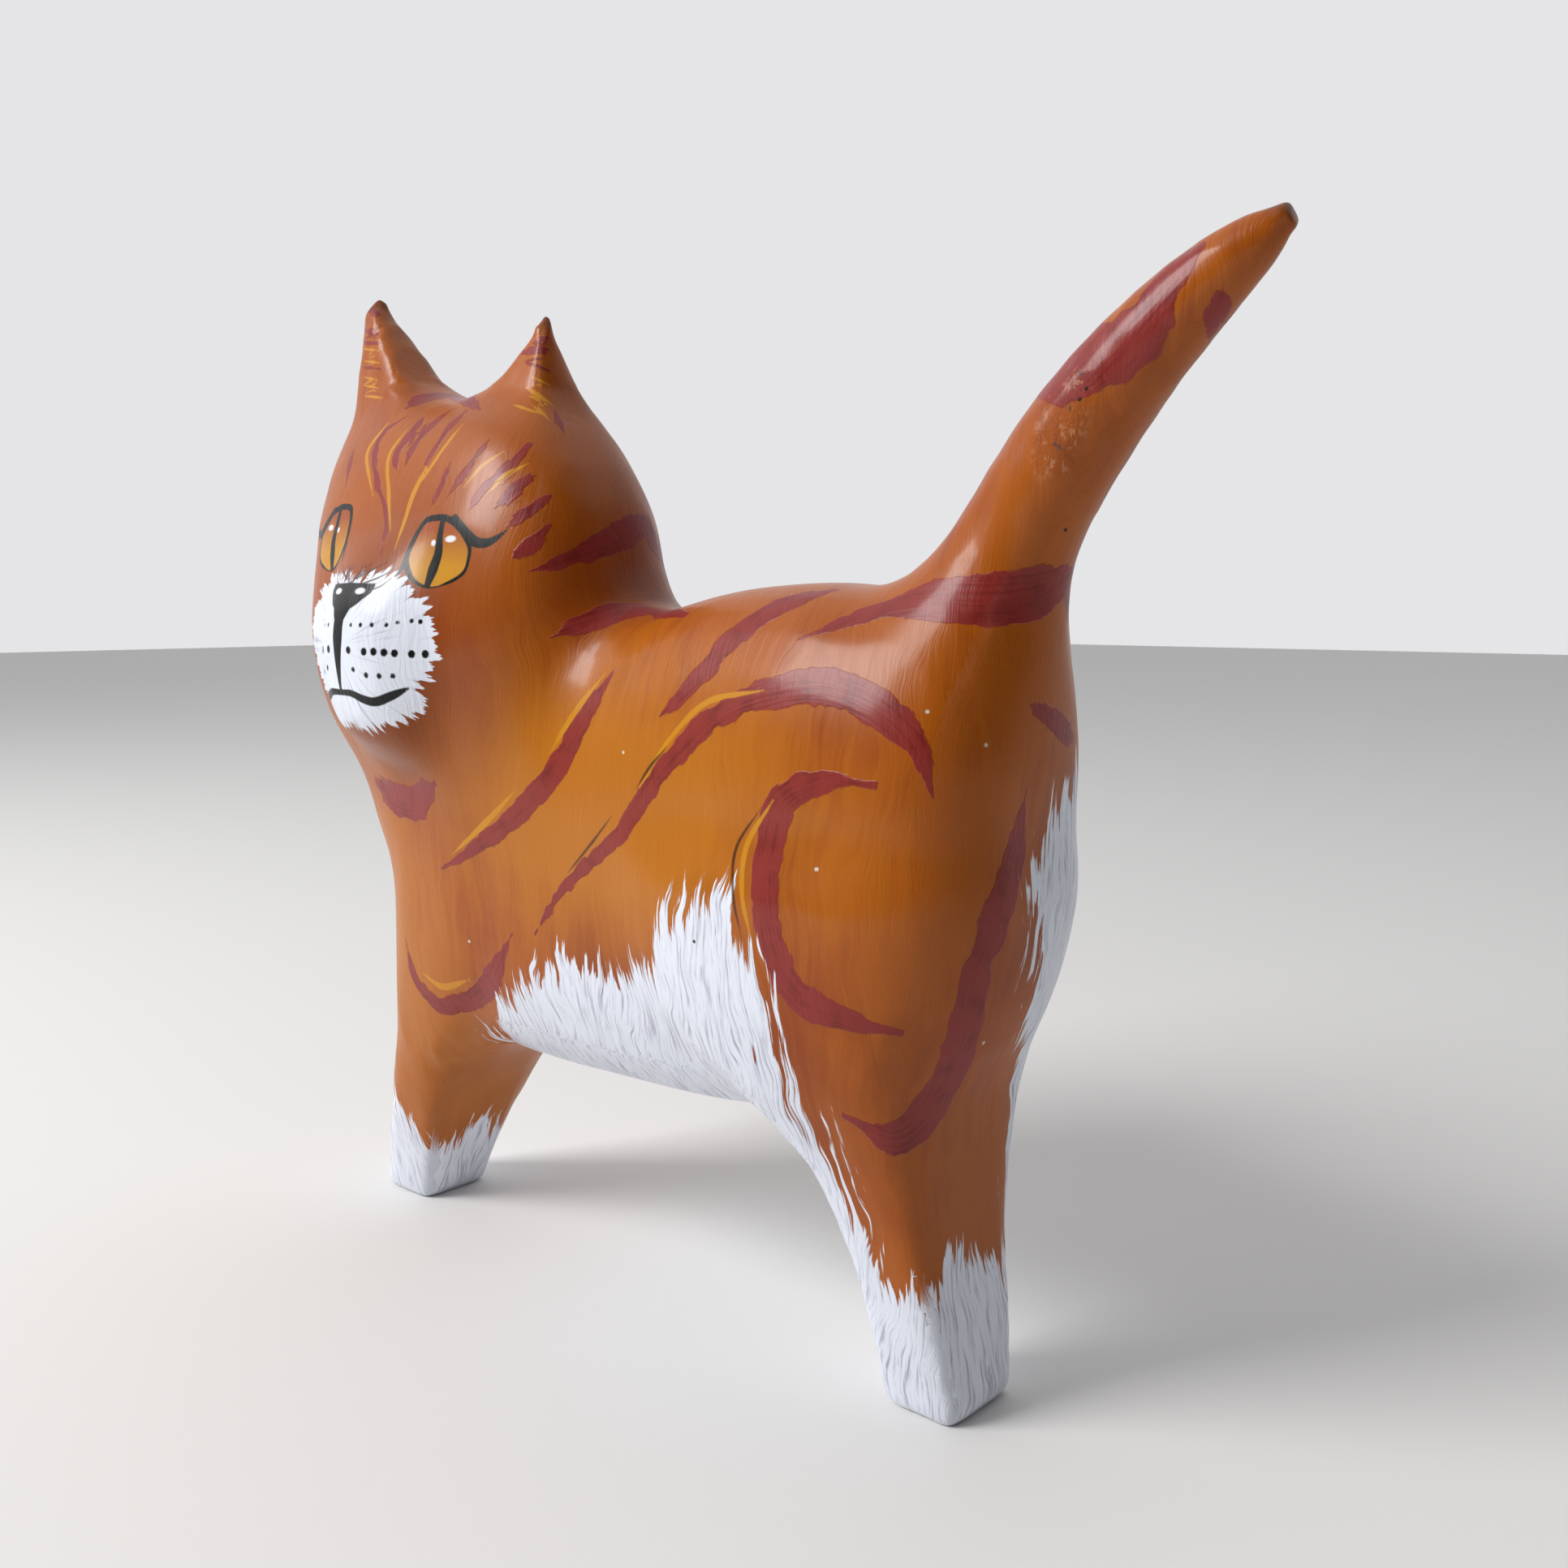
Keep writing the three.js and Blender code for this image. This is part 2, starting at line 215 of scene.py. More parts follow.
def throughPoints(points, spacing):
    # a cubic curve through the points: each pair is joined by Hermite's blend of its two slopes
    points = np.array(points, float)
    steps = np.r_[0, np.cumsum(np.linalg.norm(np.diff(points, axis=0), axis=1))]
    slopes = np.gradient(points, steps, axis=0)
    at = np.linspace(0, steps[-1], max(2, round(steps[-1] / spacing) + 1))
    i = np.clip(np.searchsorted(steps, at, "right") - 1, 0, len(steps) - 2)
    h = (steps[i + 1] - steps[i])[:, None]
    f = (at - steps[i])[:, None] / h
    return (
        (1 + 2 * f) * (1 - f) ** 2 * points[i]
        + f * (1 - f) ** 2 * h * slopes[i]
        + f**2 * (3 - 2 * f) * points[i + 1]
        + f**2 * (f - 1) * h * slopes[i + 1]
    )


def onFigure(pixels):
    # the places and normals where the photo camera's rays through these pixels meet the figure
    half = photo["pixels"] / 2
    eye = Vector(photo["place"])
    places, normals = [], []
    for x, y in pixels:
        ray = cameraTurn @ Vector((x - half, half - y, -photo["focalPixels"]))
        place, normal, _, _ = catTree.ray_cast(eye, ray.normalized())
        if place is not None:
            places.append(place)
            normals.append(normal)
    return np.array(places), np.array(normals)


def nearestOnFigure(points):
    # the figure's places that are nearest to the points, and the normals there
    found = [catTree.find_nearest(Vector(p)) for p in points]
    return np.array([f[0] for f in found]), np.array([f[1] for f in found])


def onFarSide(points):
    # the points mirrored in the figure's middle plane, and brought back to the figure
    return nearestOnFigure(points * (1, -1, 1) + (0, 2 * figure["middle"], 0))


def acrossFace(points, inward=0, upward=0):
    # the points mirrored in the face's middle line, moved by these mm and brought to the figure
    turn = math.radians(figure["faceTurn"])
    u, _ = faceChart(points)
    side = np.array([math.cos(turn), -math.sin(turn), 0])
    return nearestOnFigure(points - (2 * u[:, None] - inward) * side + (0, 0, upward))


def areaDepth(corners, p):
    # signed distance to a closed outline: the nearest side's distance, positive inside
    corners = np.array(corners, float)
    nearest = np.full(len(p), 1e9)
    inside = np.zeros(len(p), bool)
    for a, b in zip(corners, np.roll(corners, -1, axis=0)):
        step = b - a
        t = np.clip((p - a) @ step / max(step @ step, 1e-12), 0, 1)
        nearest = np.minimum(nearest, np.linalg.norm(p - a - t[:, None] * step, axis=1))
        crossing = (a[1] > p[:, 1]) != (b[1] > p[:, 1])
        at = a[0] + (p[:, 1] - a[1]) / (b[1] - a[1] + 1e-12) * step[0]
        inside ^= crossing & (p[:, 0] < at)
    return np.where(inside, nearest, -nearest)


marking = {
    "spacing": 7,  # pixels between the points of a stroke's middle line
    "margin": 8.0,  # mm round a stroke in which its depth is worked out
    "gap": 25.0,  # mm: a longer step of the line leads to another part, and is left out
    "emptyDepth": -50.0,  # mm, far outside every mark
    "farAcross": 99.0,
    # a mark loses depth where the surface turns away from it, and on the far side where the surface
    # turns to the camera: below which share of facing, and how many mm for a whole turn
    "turned": (0.25, 12),
    "farTurned": (0.3, 30),
    "taperRate": 2.2,  # how soon a stroke reaches its whole width
}


class Marks:
    # The marks of one paint: for each vertex, how deep it is inside the nearest mark, and its
    # place across and along that mark, all in mm.
    def __init__(self):
        count = len(catPlaces)
        self.depth = np.full(count, marking["emptyDepth"])
        self.across = np.full(count, marking["farAcross"])
        self.along = np.zeros(count)
        self.half = np.full(count, marking["emptyDepth"])
        self.number = 0

    def line(self, places, normals, halfWidths, farSide=False):
        # the depth inside a stroke is its half width less the distance to its middle line
        self.number += 1
        reach = max(halfWidths) + marking["margin"]
        near = np.all(catPlaces > places.min(0) - reach, axis=1)
        near &= np.all(catPlaces < places.max(0) + reach, axis=1)
        chosen = np.flatnonzero(near)
        if not len(chosen) or len(places) < 2:
            return
        p, n = catPlaces[chosen], catNormals[chosen]
        best = np.full(len(chosen), marking["emptyDepth"])
        across = np.full(len(chosen), marking["farAcross"])
        along = np.zeros(len(chosen))
        half = np.full(len(chosen), marking["emptyDepth"])
        done = 0.0
        facing, loss = marking["turned"]
        for a, b, na, ra, rb in zip(places, places[1:], normals, halfWidths, halfWidths[1:]):
            step = b - a
            length = np.linalg.norm(step)
            if length < 1e-6 or length > marking["gap"]:
                continue
            t = np.clip((p - a) @ step / length**2, 0, 1)
            away = p - a - t[:, None] * step
            turned = np.clip(facing - n @ na, 0, 1) * loss  # the other face of a thin place
            depth = ra + (rb - ra) * t - np.linalg.norm(away, axis=1) - turned
            better = depth > best
            best[better] = depth[better]
            side = np.cross(step / length, na)
            across[better] = (away @ side)[better]
            along[better] = (done + t * length)[better]
            half[better] = (ra + (rb - ra) * t)[better]
            done += length
        if farSide:
            facing, loss = marking["farTurned"]
            best -= np.clip(facing - n[:, 1], 0, 1) * loss
        better = best > self.depth[chosen]
        kept = chosen[better]
        self.depth[kept] = best[better]
        self.across[kept] = across[better]
        self.along[kept] = along[better] + self.number * 37
        self.half[kept] = half[better]

    def stroke(self, pixels, widths, mirror="body", taper=0.35):
        # widths are whole widths in mm along the stroke; the ends draw in as a brush's do
        line = throughPoints(pixels, marking["spacing"])
        places, normals = onFigure(line)
        if len(places) < 2:
            return
        share = np.linspace(0, 1, len(places))
        half = np.interp(share, np.linspace(0, 1, len(widths)), widths) / 2
        whole = np.clip(np.sin(math.pi * share) * marking["taperRate"], 0, 1)
        half *= taper + (1 - taper) * whole
        self.line(places, normals, half)
        if mirror == "body":
            self.line(*onFarSide(places), half, farSide=True)
        if mirror == "face":
            self.line(*acrossFace(places), half)
        if mirror == "eye":
            self.line(*acrossFace(places, eye["farInward"], eye["farUpward"]), half)

    def area(self, outer, inner, beyond):
        # a patch on both flanks, its outline carried straight through the figure; its outer
        # side is moved in x and z, to reach past the figure's edge
        outerPlaces, _ = onFigure(outer)
        innerPlaces, _ = onFigure(inner)
        corners = np.vstack([outerPlaces[:, [0, 2]] + beyond, innerPlaces[:, [0, 2]]])
        depth = areaDepth(corners, catPlaces[:, [0, 2]])
        better = depth > self.depth
        self.depth[better] = depth[better]
        self.half[better] = 999
        self.across[better] = (catPlaces[:, 0] - catPlaces[:, 2])[better] * 0.7
        self.along[better] = (catPlaces[:, 0] + catPlaces[:, 2])[better] * 0.7

    def dot(self, pixel, radius, mirror=None):
        places, _ = onFigure([pixel])
        if len(places):
            self.spot(places[0], radius)
            if mirror == "face":
                self.spot(acrossFace(places)[0][0], radius)

    def spot(self, place, radius):
        # a ball: its radius less the distance to its middle
        away = np.linalg.norm(catPlaces - place, axis=1)
        self.depth = np.maximum(self.depth, radius - away)


def store(name, values):
    # one number for each vertex, which the paint reads by its name
    layer = catMesh.attributes.new(name, "FLOAT", "POINT")
    layer.data.foreach_set("value", np.asarray(values, np.float32))


catX, catY, catZ = catPlaces.T
faceU, faceW = faceChart(catPlaces)
# the mm that a mark of the face loses behind the face's front
onFace = np.clip((faceW - figure["faceFront"]) * 2, -30, 0)
fromMiddle = abs(catY - figure["middle"])
fromSide = np.stack([catX, catZ], 1)  # the places as seen from the flank

# Broad red strokes, with their widths in mm.
redStrokes = {
    "chest": ([(466, 966), (492, 986), (512, 990), (534, 966)], [5, 7.5, 7, 4]),
    "shoulder": (
        [(757, 826), (722, 880), (690, 940), (640, 1000), (600, 1035), (545, 1070)],
        [2, 5, 5, 4.5, 3.5, 1.5],
    ),
    "arc": (
        [(1148, 978), (1132, 922), (1082, 872), (1010, 846), (960, 852), (880, 884)]
        + [(840, 922), (800, 970), (770, 1020), (730, 1060), (690, 1100), (660, 1150)],
        [1.6, 5, 6, 6, 5.5, 4.5, 4.5, 4, 3.5, 3, 2.8, 1.8],
    ),
    "back": ([(1022, 728), (965, 745), (900, 790), (860, 835), (808, 888)], [4, 5.5, 5, 4, 1]),
    "tail root": (
        [(988, 786), (1070, 757), (1140, 740), (1210, 740), (1245, 738), (1301, 722), (1321, 708)],
        [1.2, 3, 4.2, 7.2, 8, 8, 9],
    ),
    "haunch": (
        [(1072, 968), (1010, 963), (965, 987), (948, 1040), (943, 1100), (952, 1170)]
        + [(978, 1222), (1040, 1256), (1104, 1272)],
        [1.8, 4, 6, 6, 5.5, 5.5, 5.5, 4.5, 2],
    ),
    "rear": (
        [(1264, 980), (1249, 1060), (1230, 1130), (1202, 1205), (1188, 1280)]
        + [(1152, 1358), (1106, 1402), (1045, 1378)],
        [2, 6, 6.5, 5.5, 6.5, 7.5, 7, 3.5],
    ),
    "rump": ([(1275, 872), (1298, 888), (1320, 906)], [2, 4, 4.5]),
    "leg": (
        [(500, 1160), (515, 1212), (545, 1240), (588, 1226), (630, 1153)],
        [1.5, 3, 4.5, 5, 1],
    ),
    "tail edge": ([(1507, 354), (1501, 388), (1489, 424)], [0.6, 3.6, 0.6]),
}
# the red patch on the tail: its outer and inner edges, and how far in mm the outer one is moved
tailPatch = {
    "outer": [(1281, 490), (1304, 462), (1333, 430)],
    "inner": [(1372, 402), (1396, 380), (1412, 360), (1428, 340), (1452, 320), (1480, 303)]
    + [(1459, 335), (1443, 370), (1438, 398), (1420, 433), (1385, 463), (1350, 475), (1308, 495)],
    "beyond": (-4, 2.5),
}
headStrokes = {
    "upper band": (
        [(654, 703), (684, 695), (718, 681), (746, 671), (800, 642)],
        [1, 2.5, 4, 5.5, 6.5],
    ),
    "lower band": (
        [(682, 784), (704, 775), (740, 761), (785, 753), (842, 757)],
        [1.5, 4, 5.5, 5.5, 4.5],
    ),
    "crown": ([(502, 502), (516, 494), (540, 488), (571, 491), (590, 503)], [2, 4.2, 4.8, 4.2, 2]),
    "cheek 1": ([(656, 588), (635, 602), (614, 623)], [1.4, 3.4, 1.4]),
    "cheek 2": ([(674, 614), (653, 629), (628, 647)], [1.1, 3.1, 1.1]),
    "cheek 3": ([(674, 650), (653, 671), (628, 690)], [1.1, 3.1, 1.1]),
    "brow 1": ([(435, 556), (430, 575), (427, 596)], [1.1, 2.1, 0.8]),
    "brow 2": (
        [(495, 517), (470, 536), (461, 564), (464, 592), (476, 636), (470, 682)],
        [1.4, 2.1, 1.8, 1.4, 1.3, 0.6],
    ),
    "brow 3": ([(520, 516), (502, 540), (488, 560), (490, 582)], [2.1, 2.8, 2.2, 0.7]),
    "brow 4": ([(550, 509), (523, 533), (508, 553), (498, 576)], [2.1, 2.8, 2.2, 0.7]),
    "brow 5": ([(572, 508), (553, 527), (539, 548), (528, 566)], [1.4, 2.1, 2.0, 0.7]),
    "brow 6": ([(553, 575), (542, 602), (532, 622)], [1.3, 2.0, 0.7]),
    "brow 7": ([(600, 545), (574, 580), (553, 610)], [1.0, 2.1, 0.7]),
    "brow 8": ([(648, 551), (622, 580), (595, 602), (577, 630)], [1.3, 2.7, 2.1, 0.7]),
    "near ear 1": ([(647, 434), (672, 430)], [1.7, 1.7]),
    "near ear 2": ([(661, 420), (671, 416)], [1.4, 1.4]),
    "near ear 3": ([(651, 448), (674, 455)], [1.2, 1.2]),
    "near ear 4": ([(683, 505), (690, 522), (697, 538)], [0.8, 1.3, 0.7]),
    "far ear 1": ([(450, 406), (464, 412)], [1.3, 1.1]),
    "far ear 2": ([(450, 422), (464, 423)], [1.1, 0.9]),
    "far ear 3": ([(450, 453), (467, 454)], [1.1, 0.9]),
    "far ear 4": ([(455, 382), (470, 388)], [1.8, 1.4]),
}
red = Marks()
for pixels, widths in redStrokes.values():
    red.stroke(pixels, widths)
red.area(tailPatch["outer"], tailPatch["inner"], tailPatch["beyond"])
for name, (pixels, widths) in headStrokes.items():
    red.stroke(pixels, widths, mirror="body" if "band" in name or "cheek" in name else None)

# Yellow lines beside the red, over the brow and across the ears.
yellowStrokes = {
    "shoulder 1": ([(744, 832), (720, 862), (697, 895), (678, 928)], [0.5, 1.3, 1.3, 0.4]),
    "shoulder 2": ([(634, 975), (596, 1016), (558, 1052)], [0.5, 1.4, 0.5]),
    "arc 1": ([(938, 851), (870, 866), (828, 907), (788, 970)], [0.7, 1.2, 0.9, 0.5]),
    "haunch 1": ([(950, 990), (920, 1042), (914, 1100), (926, 1160)], [0.6, 1.1, 1.0, 0.4]),
    "leg 1": ([(522, 1200), (545, 1216), (576, 1208)], [0.6, 1.6, 0.8]),
}
yellowLines = {
    "brow 1": ([(476, 524), (452, 560), (455, 588), (459, 608)], [0.9, 1.3, 1.0, 0.5]),
    "brow 2": ([(500, 531), (480, 560), (479, 609), (481, 652)], [0.8, 1.2, 1.2, 0.5]),
    "brow 3": ([(568, 525), (546, 553), (527, 581), (514, 600)], [0.7, 1.0, 1.0, 0.7]),
    "brow 4": ([(523, 580), (508, 612), (498, 643), (488, 672)], [1.3, 1.7, 1.3, 0.5]),
    "brow 5": ([(616, 559), (594, 574), (574, 597)], [0.7, 1.0, 0.5]),
    "brow 6": ([(647, 573), (622, 586), (602, 606)], [0.7, 1.2, 0.7]),
    "near ear 1": ([(659, 466), (674, 473)], [0.8, 0.7]),
    "near ear 2": ([(651, 479), (678, 497)], [1, 0.7]),
    "near ear 3": ([(655, 489), (670, 496)], [0.7, 0.6]),
    "near ear 4": ([(637, 500), (663, 509)], [0.9, 0.6]),
    "near ear 5": ([(663, 502), (675, 516)], [0.9, 0.6]),
    "far ear 1": ([(450, 430), (466, 432)], [0.7, 0.6]),
    "far ear 2": ([(450, 445), (466, 447)], [0.7, 0.6]),
    "far ear 3": ([(450, 465), (463, 468)], [0.7, 0.6]),
    "far ear 4": ([(450, 475), (465, 478)], [0.7, 0.6]),
    "far ear 5": ([(451, 488), (470, 490)], [0.7, 0.6]),
}
yellow = Marks()
for pixels, widths in yellowStrokes.values():
    yellow.stroke(pixels, widths)
for pixels, widths in yellowLines.values():
    yellow.stroke(pixels, widths, mirror=None)

# Thin dark lines beside the red strokes, and the hairs above the nose.
brownLines = {
    "arc 1": ([(820, 922), (800, 946), (785, 970)], [0.3, 0.7, 0.3]),
    "arc 2": ([(752, 1008), (728, 1040), (700, 1075)], [0.3, 0.6, 0.3]),
    "haunch 1": ([(936, 998), (907, 1045), (903, 1100), (914, 1158)], [0.3, 0.7, 0.6, 0.3]),
}
noseHairs = [
    [(436, 714), (456, 704), (474, 694)],
    [(450, 718), (466, 712), (481, 704)],
    [(456, 727), (468, 723), (479, 715)],
    [(430, 715), (431, 706), (436, 698)],
    [(441, 712), (446, 703), (455, 696)],
]
hairWidths = [0.5, 0.45, 0.2]
brown = Marks()
for pixels, widths in brownLines.values():
    brown.stroke(pixels, widths)
for pixels in noseHairs:
    brown.stroke(pixels, hairWidths, mirror="face", taper=1)

# White, its ends drawn out by the bristles: the belly and the hind leg's front, with the upper edge
# given by pixels and the rest by places (x, z).
belly = {
    "start": [(-52, -5), (-52, 43)],
    "edge": [(622, 1240), (650, 1207), (680, 1187), (700, 1180), (728, 1191), (755, 1206)]
    + [(785, 1194), (806, 1174), (822, 1130), (842, 1096), (868, 1086), (886, 1098), (899, 1132)]
    + [(915, 1170), (935, 1210), (948, 1250), (956, 1300), (980, 1350), (1008, 1398), (1034, 1450)]
    + [(1060, 1510), (1082, 1560)],
    "end": [(52, 21), (52, -5)],
}
bellyEdge, _ = onFigure(belly["edge"])
bellyCorners = np.vstack([belly["start"], bellyEdge[:, [0, 2]], belly["end"]])
whiteDepth = areaDepth(bellyCorners, fromSide)
# each foot: the height of the white, by the angle round the leg's middle, seen from above
feet = {
    "front": {
        "middle": (-88, 4.65),
        "angles": [-180, -135, -80, -55, -35, 0, 35, 80, 135, 180],
        "heights": [22, 26, 26, 16, 12, 20, 14, 22, 26, 22],
        "reach": 22,
    },
    "hind": {
        "middle": (53, 4.65),
        "angles": [-180, -110, -70, -45, 0, 45, 90, 135, 180],
        "heights": [30, 22, 22, 30, 27, 22, 26, 24, 30],
        "reach": 22,
    },
}
for foot in feet.values():
    eastward, northward = catX - foot["middle"][0], catY - foot["middle"][1]
    angle = np.degrees(np.arctan2(northward, eastward))
    height = np.interp(angle, foot["angles"], foot["heights"])
    footDepth = np.minimum(height - catZ, foot["reach"] - np.hypot(eastward, northward))
    whiteDepth = np.maximum(whiteDepth, footDepth)
# the rear patch: beyond an edge on the back face, and a little way round the far corner
rear = {
    "edgeLevels": [30, 38, 52, 69, 90, 98, 106, 116],  # z, and the edge's y there
    "edge": [17, 16, 15, 8, 2.5, 7, 12, 24],
    "cornerLevels": [0, 36, 60, 83, 106],  # z, and the corner's x there
    "corner": [60, 56, 58, 68, 71],
    "roundCorner": 8,
    "low": 18,
    "high": 107,
}
fromEdge = catY - np.interp(catZ, rear["edgeLevels"], rear["edge"])
fromCorner = catX - np.interp(catZ, rear["cornerLevels"], rear["corner"]) + rear["roundCorner"]
fromEnds = np.minimum(catZ - rear["low"], rear["high"] - catZ)
whiteDepth = np.maximum(whiteDepth, np.min([fromEdge, fromCorner, fromEnds], axis=0))
store("whiteDepth", whiteDepth)

# The face, drawn on its own chart, u across from the middle line and z up. The far half mirrors the
# near half, apart from the changes given here.
muzzle = {
    "outline": [(422, 712), (441, 708), (468, 705), (492, 708), (509, 724), (522, 744), (533, 768)]
    + [(540, 796), (533, 821), (522, 846), (519, 873), (499, 888), (475, 893), (453, 900), (429, 892)],
    "middle": (0, 126),  # where the white's tufts point away from
    "farShare": 0.76,  # the near half's width over the far half's
}
eye = {
    "outline": [(545, 633), (526, 637), (515, 651), (507, 666), (500, 681), (497, 693), (499, 704)]
    + [(505, 715), (515, 722), (529, 725), (545, 722), (561, 716), (574, 705), (579, 690)]
    + [(581, 674), (576, 660), (567, 645), (556, 636)],
    # the rim's width in mm, by the angle from the eye's middle, turning from its top to the right
    "rimAngles": [-180, -150, -110, -60, 0, 50, 100, 140, 165, 180],
    "rimWidths": [0.3, 0.7, 1.2, 1.25, 1.3, 1.3, 0.8, 0.7, 0.3, 0.3],
    "lash": (
        [(560, 638), (573, 655), (584, 667), (600, 669), (613, 662), (627, 651)],
        [1.6, 1.9, 2.2, 1.8, 1.1, 0.3],
    ),
    "corner": ([(501, 686), (495, 700), (488, 712)], [1.3, 1.0, 0.2]),
    "pupil": (
        [(546, 640), (542, 660), (540, 682), (534, 700), (526, 722)],
        [1.5, 1.7, 2.3, 2.5, 1.4],
    ),
    "glints": [((555, 664), 1.5, 0.62), ((534, 669), 0.62, 0.62)],  # pixel, half width, half height
    "farInward": 1.0,  # mm, how much nearer to the face's middle the far eye is
    "farUpward": 3.7,  # mm, how much higher
}
nose = {
    "outline": [(464, 719), (457, 731), (447, 738), (439, 745), (431, 750), (423, 764), (421, 787)],
    "shaft": 117.0,  # the height in mm at which the line below the nose meets the mouth
    "glints": [(4.9, 137.0, 1.6, 0.62), (-4.0, 137.0, 1.7, 0.62)],  # u, z, half width, half height
}
mouth = (
    [(418, 853), (432, 854), (446, 861), (460, 865), (481, 858), (503, 848)],
    [1.1, 1.5, 1.8, 1.9, 1.7, 0.6],
)


def chartOf(pixels):
    # where pixels of the near half of the face lie on the chart
    places, _ = onFigure(pixels)
    u, _ = faceChart(places)
    return np.stack([abs(u), places[:, 2]], 1)


def ovalDepth(p, middle, halves, depth):
    # one less the distance from the middle in shares of the oval's half sizes, times a depth
    away = (p - middle) / halves
    return (1 - np.hypot(away[:, 0], away[:, 1])) * depth


side = np.stack([abs(faceU), catZ], 1)
signed = np.stack([faceU, catZ], 1)
farHalf = faceU < 0
muzzleEdge = chartOf(throughPoints(muzzle["outline"], 8))
muzzleCorners = np.vstack([muzzleEdge, (-1, muzzleEdge[-1, 1]), (-1, muzzleEdge[0, 1])])
muzzleSide = side * np.where(farHalf[:, None], (muzzle["farShare"], 1), 1)
muzzleDepth = areaDepth(muzzleCorners, muzzleSide) + onFace
fromMuzzle = signed - muzzle["middle"]
muzzleRadius = np.hypot(fromMuzzle[:, 0], fromMuzzle[:, 1])
muzzleAngle = np.arctan2(fromMuzzle[:, 0], fromMuzzle[:, 1])
eyeSide = side + farHalf[:, None] * (eye["farInward"], -eye["farUpward"])
eyeOutline = chartOf(throughPoints(eye["outline"] + eye["outline"][:1], 5))
eyeDepth = areaDepth(eyeOutline, eyeSide) + onFace
fromEye = eyeSide - eyeOutline.mean(0)
eyeRise = np.clip(0.5 + fromEye[:, 1] / np.ptp(eyeOutline[:, 1]), 0, 1)
eyeAngle = np.degrees(np.arctan2(fromEye[:, 0], fromEye[:, 1]))
rim = np.interp(eyeAngle, eye["rimAngles"], eye["rimWidths"])
glints = [
    ovalDepth(eyeSide, chartOf([pixel])[0], (halfAcross, halfUp), halfUp)
    for pixel, halfAcross, halfUp in eye["glints"]
]
glints += [
    ovalDepth(signed, (u, z), (halfAcross, halfUp), halfUp)
    for u, z, halfAcross, halfUp in nose["glints"]
]
noseEdge = chartOf(nose["outline"])
noseShaft = [(0.3, nose["shaft"]), (-1, nose["shaft"]), (-1, noseEdge[0, 1] + 0.3)]
noseCorners = np.vstack([noseEdge, noseShaft])
noseDepth = areaDepth(noseCorners, side) + onFace

whiskers = {
    "upper": [(432, 770), (444, 770), (458, 770), (476, 770), (490, 767), (507, 765), (518, 766)],
    "middle": [(429, 801), (448, 803), (460, 803), (473, 804), (486, 805), (507, 806), (524, 806)],
    "lower": [(435, 825), (451, 832), (467, 833), (484, 833)],
    "radii": {"upper": 0.5, "middle": 0.8, "lower": 0.6},  # mm
}
ink = Marks()
for row, radius in whiskers["radii"].items():
    for pixel in whiskers[row]:
        ink.dot(pixel, radius, mirror="face")
ink.stroke(*eye["lash"], mirror="eye", taper=1)
ink.stroke(*eye["corner"], mirror="eye", taper=1)
ink.stroke(*mouth, mirror="face", taper=1)
pupils = Marks()
pupils.stroke(*eye["pupil"], mirror="eye", taper=1)

store("muzzleDepth", muzzleDepth)
store("muzzleRadius", muzzleRadius)
store("muzzleAngle", muzzleAngle)
store("eyeDepth", eyeDepth)
store("irisDepth", eyeDepth - rim)
store("eyeRise", eyeRise)
store("pupilDepth", np.minimum(pupils.depth, eyeDepth))
store("glintDepth", np.max(glints, axis=0) + onFace)
store("inkDepth", np.maximum(ink.depth, noseDepth))
for name, marks in (("red", red), ("yellow", yellow), ("brown", brown)):
    store(name + "Depth", marks.depth)
    store(name + "Across", marks.across)
    store(name + "Along", marks.along)
    store(name + "Half", marks.half)

# Wear: dark tips on the ears and the tail, the rubbed place on the tail, and small chips.
wear = {
    "earBand": 3.0,  # mm, how far the dark reaches from a tip
    "tailBand": 3.0,
    "scuffs": [((1333, 464), 2.6), ((1314, 496), 3.4), ((1306, 530), 3.8), ((1298, 562), 3.2)],
    "paleChips": [(768, 927), (1143, 877), (1006, 1071), (1212, 1285), (1215, 918), (578, 1160)],
    "darkChips": [(855, 1160), (1313, 653), (1332, 460), (1339, 479), (1330, 492)],
    "chipRadius": 0.32,  # mm
}
darkTips = Marks()
for low, high, _, _ in figure["ears"]:
    earHeight = np.where((catX > low) & (catX < high), catZ, 0)
    darkTips.spot(catPlaces[np.argmax(earHeight)], wear["earBand"])
darkTips.spot(catPlaces[np.argmax(catX + catZ)], wear["tailBand"])
store("tipDepth", darkTips.depth)
scuffs = Marks()
for pixel, radius in wear["scuffs"]:
    scuffs.dot(pixel, radius)
store("scuffDepth", scuffs.depth)

# Tones over the base coat, as ovals seen from the side: middle, half sizes, depth at the middle.
tones = {
    "flank": ((-5, 98), (50, 26), 26),
    "foreleg": ((-72, 62), (16, 34), 8),
    # painted shade: the head and neck darkened to russet as if in shade, partly a redder tone of their
    # paint
    "headAndNeckShade": ((-56, 124), (36, 44), 34),
    "faceStart": 12,  # mm out of the head's middle, where the head's painted shade begins to thin
    "faceBand": 6,
    "faceLess": 1.6,  # mm of depth lost for each mm of the band
}
flankDepth = ovalDepth(fromSide, *tones["flank"])
store("ochreDepth", np.maximum(flankDepth, ovalDepth(fromSide, *tones["foreleg"])))
thinned = np.clip(faceW - tones["faceStart"], 0, tones["faceBand"]) * tones["faceLess"]
# painted shade on the head and neck, thinning towards the face's front
store("headShadeDepth", ovalDepth(fromSide, *tones["headAndNeckShade"]) - thinned)

# The brush's grain runs up and down: across it lies x on the flanks and y on the ends.
endwise = np.clip((abs(catNormals[:, 0]) - 0.6) / 0.2, 0, 1)
store("grain", catX * (1 - endwise) + catY * endwise)
store("grainUp", catZ + fromMiddle * (catNormals[:, 2] < -0.5))
print("paint marks placed")


